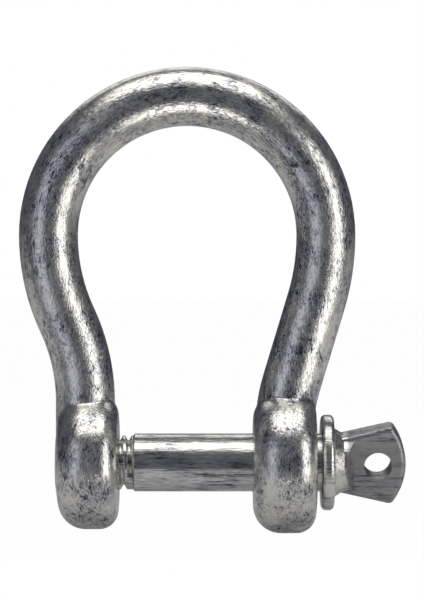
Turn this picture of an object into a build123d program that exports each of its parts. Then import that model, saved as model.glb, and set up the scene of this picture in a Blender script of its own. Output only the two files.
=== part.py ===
import os
from math import atan2, cos, radians, sin, tan

from build123d import *

# Screw-pin bow shackle. Millimetres. +X runs along the pin towards its tab, +Z towards the
# crown of the bow, and the origin is on the pin's axis, under the middle of the bow.

# Bow
bar_d = 10.2
round_r = 24.0            # centre line of the round top
round_z = 39.3            # height of the round's centre over the pin

# A leg leans in from the round and turns upright again at its foot.
# straight 0 is two arcs that meet, and a higher value has a longer straight run between them.
left_leg = {"side": -1, "foot_x": 17.6, "foot_z": 10.5, "straight": 0.03, "upper_share": 0.51}
right_leg = {"side": 1, "foot_x": 16.9, "foot_z": 6.0, "straight": 0.30, "upper_share": 0.60}

# Eyes, forged round the pin's axis
left_eye = {"side": -1, "jaw_x": 11.9, "width": 11.0, "r": 11.5, "dome": 1.3, "out_rim_r": 4.8, "jaw_rim_r": 3.2}
right_eye = {"side": 1, "jaw_x": 11.4, "width": 11.1, "r": 12.2, "dome": 0.4, "out_rim_r": 3.4, "jaw_rim_r": 4.8}
hub_r = 3.0               # flat middle of an eye's outer face
weld_r = 0.8              # small forged fillet where a leg meets its eye

# Thread, metric coarse, right-handed
pitch = 1.5
flank = radians(30)
thread_depth = 0.8
root_flat = 0.2
thread_gap = 0.11         # clearance on each flank
crest_gap = 0.3           # clearance over each crest

# Pin
shank_r = 5.0
crest_under = 0.35        # the thread's crest stands this far below the shank
eye_gap = 0.3             # drilled eye, on the radius
collar_gap = 0.6          # between the right eye and the collar, as the pin is backed off
shoulder_x = -9.0         # where the smooth shank ends and the thread begins
tip_inset = 1.4           # the pin's end stands this far inside the left eye's face
point_l = 1.6
point_under = 0.25        # and the point this far below the thread's root
point_bevel = 0.6
collar_lip = 3.25
collar_t = 2.2
collar_round = 0.8
flare_r = 1.7             # from the collar down to the neck
neck_l = 3.6

# Tab
tab_t = 4.4
tab_root_w = 9.9
tab_end_w = 15.2
tab_end_r = 11.4
tab_l = 12.4              # past the collar's outer face
tab_round = 0.9
tab_corner_r = 1.0
tab_turn = 14.0           # degrees round the pin at rest
tab_hole_r = 2.4
tab_hole_inset = 4.8      # from the tab's end to the hole's centre


def leg_points(side, foot_x, foot_z, straight, upper_share):
    shift = round_r - foot_x
    drop = round_z - foot_z
    lean = 2 * atan2(shift, drop) * (1 - straight)
    both_r = (drop * sin(lean) - shift * cos(lean)) / (1 - cos(lean))
    upper_r = both_r * upper_share
    lower_r = both_r - upper_r

    def on_upper(turn):
        return side * (round_r - upper_r * (1 - cos(turn))), round_z - upper_r * sin(turn)

    def on_lower(turn):
        return side * (foot_x + lower_r * (1 - cos(turn))), foot_z + lower_r * sin(turn)

    upper = [on_upper(0), on_upper(lean / 2), on_upper(lean)]
    lower = [on_lower(lean), on_lower(lean / 2), on_lower(0)]
    return upper, lower


def leg_edges(leg):
    upper, lower = leg_points(**leg)
    foot = (lower[-1][0], 0)
    return [
        ThreePointArc(*[(x, 0, z) for x, z in upper]),
        Line((upper[-1][0], 0, upper[-1][1]), (lower[0][0], 0, lower[0][1])),
        ThreePointArc(*[(x, 0, z) for x, z in lower]),
        Line((lower[-1][0], 0, lower[-1][1]), (foot[0], 0, foot[1])),
    ]


def make_bar():
    crown = ThreePointArc((-round_r, 0, round_z), (0, 0, round_z + round_r), (round_r, 0, round_z))
    route = Wire([crown] + leg_edges(left_leg) + leg_edges(right_leg))
    foot = Plane((-left_leg["foot_x"], 0, 0), z_dir=(0, 0, 1))
    return sweep(foot * Circle(bar_d / 2), path=route)


def make_eye(side, jaw_x, width, r, dome, out_rim_r, jaw_rim_r):
    out_x = jaw_x + width
    face = Polyline((jaw_x, 0), (jaw_x, r), (out_x - dome, r), (out_x, hub_r), (out_x, 0), close=True)
    profile = make_face(face)
    for end, rim_r in ((0, jaw_rim_r), (-1, out_rim_r)):
        rim = profile.vertices().filter_by(lambda v: v.Y > r - 0.01).sort_by(Axis.X)[end]
        profile = fillet(rim, rim_r)
    eye = revolve(profile, Axis.X)
    return eye if side > 0 else mirror(eye, Plane.YZ)


def thread_tool(start_x, length, inner_r, outer_r, inner_w, outer_w):
    groove = Polyline(
        (inner_r, -inner_w / 2),
        (outer_r, -outer_w / 2),
        (outer_r, outer_w / 2),
        (inner_r, inner_w / 2),
        close=True,
    )
    route = Helix(pitch, length, inner_r)
    tool = sweep(Plane.XZ * make_face(groove), path=route, is_frenet=True)
    return Pos(start_x, 0, 0) * Rot(0, 90, 0) * tool


def rod(r, start_x, end_x):
    return Pos((start_x + end_x) / 2, 0, 0) * Rot(0, 90, 0) * Cylinder(r, end_x - start_x)


crest_r = shank_r - crest_under
root_r = crest_r - thread_depth
point_r = root_r - point_under
collar_r = shank_r + collar_lip
left_out_x = -left_eye["jaw_x"] - left_eye["width"]
right_out_x = right_eye["jaw_x"] + right_eye["width"]
tip_x = left_out_x + tip_inset
thread_x = tip_x + point_l
collar_x = right_out_x + collar_gap
neck_x = collar_x + collar_t
flats_x = neck_x + neck_l
tab_end_x = neck_x + tab_l
hole_x = tab_end_x - tab_hole_inset

# The bow's thread stands clear of the pin's by the two gaps.
nut_root_r = crest_r + crest_gap
nut_hole_r = root_r + crest_gap + 0.1
over = 0.1


def groove_w(r):
    return root_flat + 2 * (r - root_r) * tan(flank)


def make_tap(start_x, end_x):
    # The groove ends inside the rod, which runs on into the open jaw.
    turns_ahead = int((thread_x - start_x) / pitch) + 2
    groove_x = thread_x - turns_ahead * pitch
    outer_r = nut_root_r + over
    groove = thread_tool(
        groove_x,
        end_x - groove_x + pitch,
        nut_hole_r,
        outer_r,
        groove_w(nut_hole_r) - 2 * thread_gap,
        groove_w(outer_r) - 2 * thread_gap,
    )
    return rod(nut_root_r, start_x, end_x + 3 * pitch) - groove


def make_bow():
    bow = make_bar()
    for eye in (left_eye, right_eye):
        bow += make_eye(**eye)
    bow = bow.clean()
    seams = [
        e for e in bow.edges()
        if e.geom_type not in (GeomType.LINE, GeomType.CIRCLE) and 2 < e.center().Z < 14
    ]
    try:
        bow = fillet(seams, weld_r)
    except ValueError:
        print("the eyes' fillet was left out")
    bow -= rod(shank_r + eye_gap, right_eye["jaw_x"] - 4, right_out_x + 1)
    bow -= make_tap(left_out_x - 1, -left_eye["jaw_x"] + 1)
    return bow


def make_tab():
    half_root = tab_root_w / 2
    half_end = tab_end_w / 2
    sides = make_face(
        Polyline(
            (neck_x + 1, -half_root),
            (tab_end_x, -half_end),
            (tab_end_x, half_end),
            (neck_x + 1, half_root),
            close=True,
        )
    )
    outline = sides & Pos(tab_end_x - tab_end_r, 0) * Circle(tab_end_r)
    corners = [v for v in outline.vertices() if v.X > hole_x]
    outline = fillet(corners, tab_corner_r)
    tab = extrude(Plane.XZ * outline, tab_t / 2, both=True)
    rims = [e for e in tab.edges() if abs(abs(e.center().Y) - tab_t / 2) < 0.01]
    rims = [e for e in rims if e.center().X > neck_x + 1.5]
    tab = fillet(rims, tab_round)
    return tab - Pos(hole_x, 0, 0) * Rot(90, 0, 0) * Cylinder(tab_hole_r, tab_t * 2)


def make_neck():
    # Two steep shoulders leave the flat tab standing out of the round neck.
    half = tab_t / 2
    top = Polyline(
        (neck_x - 0.5, -shank_r),
        (flats_x - 1.7, -shank_r),
        (flats_x, -half + 0.2),
        (flats_x, half - 0.2),
        (flats_x - 1.7, shank_r),
        (neck_x - 0.5, shank_r),
        close=True,
    )
    wedge = extrude(make_face(top), shank_r, both=True)
    return wedge & rod(shank_r - 0.02, neck_x - 0.5, flats_x)


def make_pin():
    turned = make_face(
        Polyline(
            (thread_x, 0),
            (thread_x, crest_r),
            (shoulder_x - 0.35, crest_r),
            (shoulder_x, shank_r),
            (collar_x, shank_r),
            (collar_x, collar_r),
            (neck_x, collar_r),
            (neck_x, shank_r + flare_r * 0.6),
            (neck_x + flare_r, shank_r - 0.05),
            (neck_x + flare_r, 0),
            close=True,
        )
    )
    corners = [v for v in turned.vertices() if v.Y > collar_r - 0.1]
    pin = revolve(fillet(corners, collar_round), Axis.X)
    pin += make_neck()
    pin += make_tab()
    pin = Rot(tab_turn, 0, 0) * pin
    length = shoulder_x - 0.35 - thread_x
    pin -= thread_tool(
        thread_x - 2 * pitch,
        length + 2 * pitch - 0.3,
        root_r,
        crest_r + over,
        groove_w(root_r),
        groove_w(crest_r + over),
    )
    return pin


def make_point():
    end = Polyline(
        (tip_x, 0),
        (tip_x, point_r - point_bevel),
        (tip_x + point_bevel, point_r),
        (thread_x, point_r),
        (thread_x, 0),
        close=True,
    )
    return revolve(make_face(end), Axis.X)


os.makedirs("parts", exist_ok=True)
for name, shape in {"bow": make_bow(), "screw_pin": make_pin(), "pin_point": make_point()}.items():
    solid = shape.solids()[0]
    print(name, len(shape.solids()), "solid", round(solid.volume, 1), "mm3", "valid", solid.is_valid)
    export_step(solid, f"parts/{name}.step")
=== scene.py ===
import math

import bpy
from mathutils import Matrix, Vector


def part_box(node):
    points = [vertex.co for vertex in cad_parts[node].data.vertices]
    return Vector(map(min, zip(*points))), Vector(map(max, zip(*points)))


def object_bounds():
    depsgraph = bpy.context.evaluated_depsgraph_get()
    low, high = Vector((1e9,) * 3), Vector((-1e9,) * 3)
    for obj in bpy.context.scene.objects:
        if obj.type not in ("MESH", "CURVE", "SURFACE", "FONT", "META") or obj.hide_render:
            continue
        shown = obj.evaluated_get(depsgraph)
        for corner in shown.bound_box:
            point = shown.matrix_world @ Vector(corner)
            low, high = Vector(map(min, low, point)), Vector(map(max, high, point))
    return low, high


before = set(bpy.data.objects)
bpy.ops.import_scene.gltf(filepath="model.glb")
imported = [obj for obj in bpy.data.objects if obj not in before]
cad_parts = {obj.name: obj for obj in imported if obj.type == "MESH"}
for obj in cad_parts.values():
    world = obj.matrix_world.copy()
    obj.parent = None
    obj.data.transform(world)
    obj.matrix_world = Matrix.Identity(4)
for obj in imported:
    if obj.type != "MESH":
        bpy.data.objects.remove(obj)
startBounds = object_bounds()
print("frame loaded")

bpy.context.scene.view_settings.view_transform = "Standard"


def plug(tree, value, socket):
    if isinstance(value, Sock):
        tree.links.new(value.out, socket)
    else:
        socket.default_value = value


class Sock:
    # wraps one output socket, so that shader maths can be written as expressions
    def __init__(self, tree, out):
        self.tree = tree
        self.out = out

    def math(self, operation, *others):
        node = self.tree.nodes.new("ShaderNodeMath")
        node.operation = operation
        for i, value in enumerate((self, *others)):
            plug(self.tree, value, node.inputs[i])
        return Sock(self.tree, node.outputs[0])

    def __add__(self, other):
        return self.math("ADD", other)

    def __radd__(self, other):
        return self.math("ADD", other)

    def __mul__(self, other):
        return self.math("MULTIPLY", other)

    def __rmul__(self, other):
        return self.math("MULTIPLY", other)

    def __sub__(self, other):
        return self.math("SUBTRACT", other)

    def __rsub__(self, other):
        return self.math("MULTIPLY", -1.0).math("ADD", other)

    def clamped(self):
        return self.math("MAXIMUM", 0.0).math("MINIMUM", 1.0)

    def split(self, *keys):
        # other outputs of the node that this socket belongs to
        return [Sock(self.tree, self.out.node.outputs[key]) for key in keys]


class Shader:
    # the nodes of one material or of the world, with its own surface and a method that adds any other node
    def __init__(self, owner, surfaceName, endName):
        self.owner = owner
        owner.use_nodes = True
        self.tree = owner.node_tree
        self.surface = self.tree.nodes[surfaceName]
        self.end = self.tree.nodes[endName]

    def add(self, kind, settings=None, inputs=None, output=0):
        node = self.tree.nodes.new("ShaderNode" + kind)
        for key, value in (settings or {}).items():
            if key == "stops":
                for element, (place, grey) in zip(node.color_ramp.elements, value):
                    element.position = place
                    element.color = (grey, grey, grey, 1)
            else:
                setattr(node, key, value)
        for key, value in (inputs or {}).items():
            plug(self.tree, value, node.inputs[key])
        return Sock(self.tree, node.outputs[output])

    def feed(self, name, value):
        plug(self.tree, value, self.surface.inputs[name])

    def mixSurface(self, factor, other):
        own = Sock(self.tree, self.surface.outputs[0])
        mixed = self.add("MixShader", inputs={0: factor, 1: own, 2: other})
        self.tree.links.new(mixed.out, self.end.inputs["Surface"])

    def objectPlace(self, stretch):
        coords = self.add("TexCoord").split("Object")[0]
        return self.add("Mapping", inputs={"Vector": coords, "Scale": stretch})

    def noise(self, place, sizes):
        return self.add("TexNoise", inputs={"Vector": place, **sizes})

    def ramp(self, value, stops):
        return self.add("ValToRGB", {"stops": stops}, {"Fac": value})

    def blendColour(self, mask, low, high):
        return self.add("Mix", {"data_type": "RGBA"}, {"Factor": mask, 6: low, 7: high}, output=2)


def newMaterial(name):
    return Shader(bpy.data.materials.new(name), "Principled BSDF", "Material Output")


zincLook = {
    "cream": (0.90, 0.88, 0.81, 1),
    "lavender": (0.50, 0.51, 0.61, 1),
    "stain": (0.050, 0.052, 0.062, 1),
    "matteGrey": (0.30, 0.30, 0.315, 1),
    "clouds": {"Scale": 230, "Detail": 5.0, "Roughness": 0.6},      # soft patches of the zinc's tone
    "grain": {"Scale": 3600, "Detail": 5.0, "Roughness": 0.7},
    "streaks": {"Scale": 1250, "Detail": 7.0, "Roughness": 0.72},
    "crystals": {"Scale": 2520, "Randomness": 1.0},
    "cloudShare": 0.6,      # of the tone, with the rest from the grain
    "toneStops": [(0.34, 0.0), (0.56, 1.0)],
    "wornStops": [(0.40, 1.0), (0.62, 0.25)],
    "pitStops": [(0.38, 1.0), (0.52, 0.0)],
    "streakStops": [(0.38, 1.0), (0.50, 0.0)],
    "metallic": 0.92,
    "matteMix": 0.75,
    "stainRough": 0.12,     # how much rougher the stains are
    "matteRough": 0.22,
    "grainHeight": 0.5,
    "crystalHeight": 0.3,
    "streakHeight": 0.9,
}


def makeZinc(shader, place, even, matte, look):
    # matte is 1 where the metal is dull and grey, and 0 where it shines
    clouds = shader.noise(even, zincLook["clouds"])
    grain = shader.noise(place, zincLook["grain"])
    streaks = shader.noise(place, zincLook["streaks"])
    crystals = shader.add("TexVoronoi", {"feature": "F1"}, {"Vector": place, **zincLook["crystals"]})
    cloudShare = zincLook["cloudShare"]
    tone = shader.ramp(clouds * cloudShare + grain * (1 - cloudShare), zincLook["toneStops"])
    colour = shader.blendColour(tone, zincLook["lavender"], zincLook["cream"])
    # dark pits gather where the clouds are low, and dark streaks run along the metal
    worn = shader.ramp(clouds, zincLook["wornStops"])
    pits = shader.ramp(grain, zincLook["pitStops"]) * worn * look["pitShare"]
    marks = shader.ramp(streaks, zincLook["streakStops"]) * worn * look["streakShare"]
    dark = (pits + marks).clamped()
    colour = shader.blendColour(matte * zincLook["matteMix"], colour, zincLook["matteGrey"])
    colour = shader.blendColour(dark, colour, zincLook["stain"])
    shader.feed("Base Color", colour)
    shader.feed("Metallic", zincLook["metallic"])
    rough = grain * (look["roughHigh"] - look["roughLow"]) + look["roughLow"]
    rough = rough + dark * zincLook["stainRough"] + matte * zincLook["matteRough"]
    shader.feed("Roughness", rough.clamped())
    height = grain * zincLook["grainHeight"] + crystals * zincLook["crystalHeight"]
    height = height + streaks * zincLook["streakHeight"]
    bump = shader.add("Bump", None, {"Height": height, "Strength": 1.0, "Distance": look["bumpDepth"]})
    shader.feed("Normal", bump)
    return shader.owner


bowLook = {
    "crownHeight": 0.0393,
    "crownRadius": 0.024,
    "alongBar": 0.42,       # the grain's scale along the bar, under 1 so that it runs lengthways
    "legShift": 0.05,       # moves each leg's grain, so that the two legs differ
    "tinyWidth": 0.0001,    # keeps the angle defined at the crown's centre
    "pitShare": 0.8,
    "streakShare": 0.85,
    "roughLow": 0.13,
    "roughHigh": 0.27,
    "bumpDepth": 0.00006,
}


def makeBowZinc():
    # the grain follows the bar, along it by the angle round the crown
    # and across it by the distance from the crown's centre
    shader = newMaterial("galvanisedBow")
    even = shader.objectPlace((1, 1, 1))
    across, deep, up = shader.add("SeparateXYZ", inputs={0: even}).split("X", "Y", "Z")
    rise = (up - bowLook["crownHeight"]).math("MAXIMUM", 0.0)
    reach = (across * across + rise * rise).math("SQRT")
    angle = rise.math("ARCTAN2", across.math("ABSOLUTE") + bowLook["tinyWidth"])
    turn = angle * bowLook["crownRadius"] * bowLook["alongBar"]
    side = across.math("SIGN") * bowLook["legShift"]
    along = turn + up.math("MINIMUM", bowLook["crownHeight"]) * bowLook["alongBar"] + side
    place = shader.add("CombineXYZ", inputs={0: reach, 1: deep, 2: along})
    return makeZinc(shader, place, even, 0.0, bowLook)


pinLook = {
    "grainStretch": (0.13, 1, 1),    # scales of the grain, least along the pin
    "cloudStretch": (0.4, 1, 1),
    "tabLength": 0.0104,             # the tab is dull for this length from its outer end
    "tabEdge": 0.0006,
    "pitShare": 0.4,
    "streakShare": 0.9,
    "roughLow": 0.12,
    "roughHigh": 0.26,
    "bumpDepth": 0.000045,
}


def makePinZinc():
    shader = newMaterial("galvanisedPin")
    place = shader.objectPlace(pinLook["grainStretch"])
    even = shader.objectPlace(pinLook["cloudStretch"])
    along = shader.add("SeparateXYZ", inputs={0: shader.objectPlace((1, 1, 1))})
    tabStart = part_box("screw_pin")[1][0] - pinLook["tabLength"]
    tab = ((along - tabStart) * (1 / pinLook["tabEdge"])).clamped()
    return makeZinc(shader, place, even, tab, pinLook)


bowZinc = makeBowZinc()
pinZinc = makePinZinc()
for nodeName, material in {"bow": bowZinc, "screw_pin": pinZinc, "pin_point": pinZinc}.items():
    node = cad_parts[nodeName]
    node.data.materials.clear()
    node.data.materials.append(material)
print("metal finished")

(lowX, _, lowZ), (highX, _, highZ) = [tuple(v) for v in startBounds]
midX = (lowX + highX) / 2
midZ = (lowZ + highZ) / 2
plainWhite = (1, 1, 1, 1)

floorLook = {
    "drop": 0.0015,         # the floor lies this far under the shackle
    "frontEdge": -0.03,
    "depth": 60.0,
    "colour": (0.55, 0.55, 0.57, 1),
    "roughness": 0.9,
    "cameraShare": 0.985,   # share of plain white that the camera sees on the floor, over its shadow
    "metalShare": 0.16,     # and that the metal sees there
}


def makePaper():
    paper = newMaterial("paper")
    paper.feed("Base Color", floorLook["colour"])
    paper.feed("Roughness", floorLook["roughness"])
    rays = paper.add("LightPath")
    glossy, clear, camera = rays.split("Is Glossy Ray", "Is Transmission Ray", "Is Camera Ray")
    seen = glossy.math("MAXIMUM", clear) * floorLook["metalShare"]
    seen = seen.math("MAXIMUM", camera * floorLook["cameraShare"])
    white = paper.add("Emission", inputs={"Color": plainWhite, "Strength": 1.0})
    paper.mixSurface(seen, white)
    return paper.owner


bpy.ops.object.select_all(action="DESELECT")
floorPlace = (midX, floorLook["frontEdge"] + floorLook["depth"] / 2, lowZ - floorLook["drop"])
bpy.ops.mesh.primitive_plane_add(size=floorLook["depth"], location=floorPlace)
floor = bpy.context.object
floor.name = "floor"
floor.data.materials.append(makePaper())
print("floor laid")

# the room is dim round the metal, and plain white behind it for the camera
roomLook = {"colour": (0.34, 0.37, 0.47, 1), "strength": 0.20}
room = Shader(bpy.data.worlds.new("lightTent"), "Background", "World Output")
bpy.context.scene.world = room.owner
room.feed("Color", roomLook["colour"])
room.feed("Strength", roomLook["strength"])
backdrop = room.add("Background", inputs={"Color": plainWhite, "Strength": 1.0})
room.mixSurface(room.add("LightPath").split("Is Camera Ray")[0], backdrop)

# place from the shackle's middle, width, height, brightness and colour of each lamp's face
lampWhite = (1.0, 0.985, 0.94)
lampBlue = (0.72, 0.74, 0.86)
lamps = {
    "topBox": ((0.0, -0.09, 0.40), 0.42, 0.34, 2.15, lampWhite),
    "crownBack": ((0.0, 0.28, 0.24), 0.40, 0.14, 1.2, lampWhite),
    "lowFront": ((0.0, -0.20, -0.19), 0.20, 0.09, 3.0, lampWhite),
    "rightStrip": ((0.31, -0.25, 0.02), 0.22, 0.46, 2.1, lampWhite),
    "leftCard": ((-0.27, -0.32, 0.02), 0.28, 0.46, 0.62, lampBlue),
}
aim = Vector((midX, 0, midZ))
for name, (offset, width, height, brightness, colour) in lamps.items():
    place = aim + Vector(offset)
    bpy.ops.object.light_add(type="AREA", location=place)
    lamp = bpy.context.object
    lamp.name = name
    lamp.data.shape = "RECTANGLE"
    lamp.data.color = colour
    lamp.data.size = width
    lamp.data.size_y = height
    lamp.data.energy = brightness * width * height * math.pi
    lamp.rotation_euler = (aim - place).to_track_quat("-Z", "Y").to_euler()
print("lamps set")

camLook = {"distance": 0.42, "seenHeight": 0.1038, "sensor": 24, "clipStart": 0.01}
bpy.ops.object.camera_add()
camera = bpy.context.object
camera.data.sensor_fit = "VERTICAL"
camera.data.sensor_height = camLook["sensor"]
camera.data.lens = camLook["sensor"] * camLook["distance"] / camLook["seenHeight"]
camera.location = (midX, -camLook["distance"], midZ)
camera.rotation_euler = (math.radians(90), 0, 0)
camera.data.clip_start = camLook["clipStart"]
bpy.context.scene.camera = camera
print("camera set")
